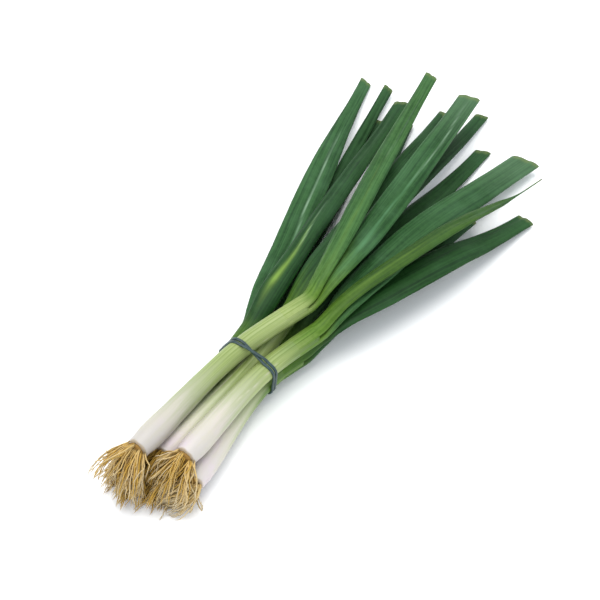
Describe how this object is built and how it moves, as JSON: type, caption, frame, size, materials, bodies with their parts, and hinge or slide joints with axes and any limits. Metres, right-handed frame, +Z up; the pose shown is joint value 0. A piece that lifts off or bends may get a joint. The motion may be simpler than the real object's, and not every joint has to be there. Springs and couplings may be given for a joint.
{
  "type": "spring onion bunch",
  "caption": "Bunch of whole spring onions lying on their side, with white bulbs, matted roots and cut green leaves, tied round the stems by a rubber band.",
  "frame": {"origin": "on the table, under the middle of the bunch's bounding box", "axes": "+Y along the bunch from its roots to its leaf tips, +Z up off the table"},
  "size_m": [0.1474, 0.3596, 0.0455],
  "materials": {
    "shank": "smooth, slightly waxy skin, white at the bulb and pale green above",
    "leaf": "satin, with a waxy bloom and fine lengthwise veins",
    "roots": "dry and matt",
    "band": "satin"
  },
  "bodies": {
    "root": {"onion_a_shank": "shank", "onion_a_roots": "roots", "onion_a_leaf_1": "leaf", "onion_a_leaf_2": "leaf", "onion_b_shank": "shank", "onion_b_roots": "roots", "onion_b_leaf_1": "leaf", "onion_b_leaf_2": "leaf", "onion_c_shank": "shank", "onion_c_roots": "roots", "onion_c_leaf_1": "leaf", "onion_c_leaf_2": "leaf", "onion_d_shank": "shank", "onion_d_roots": "roots", "onion_d_leaf_1": "leaf", "onion_d_leaf_2": "leaf", "onion_e_shank": "shank", "onion_e_roots": "roots", "onion_e_leaf_1": "leaf", "onion_e_leaf_2": "leaf", "onion_f_shank": "shank", "onion_f_roots": "roots", "onion_f_leaf_1": "leaf", "onion_f_leaf_2": "leaf", "onion_f_leaf_3": "leaf", "onion_g_shank": "shank", "onion_g_roots": "roots", "onion_g_leaf_1": "leaf", "onion_g_leaf_2": "leaf", "rubber_band": "band"}
  },
  "joints": []
}
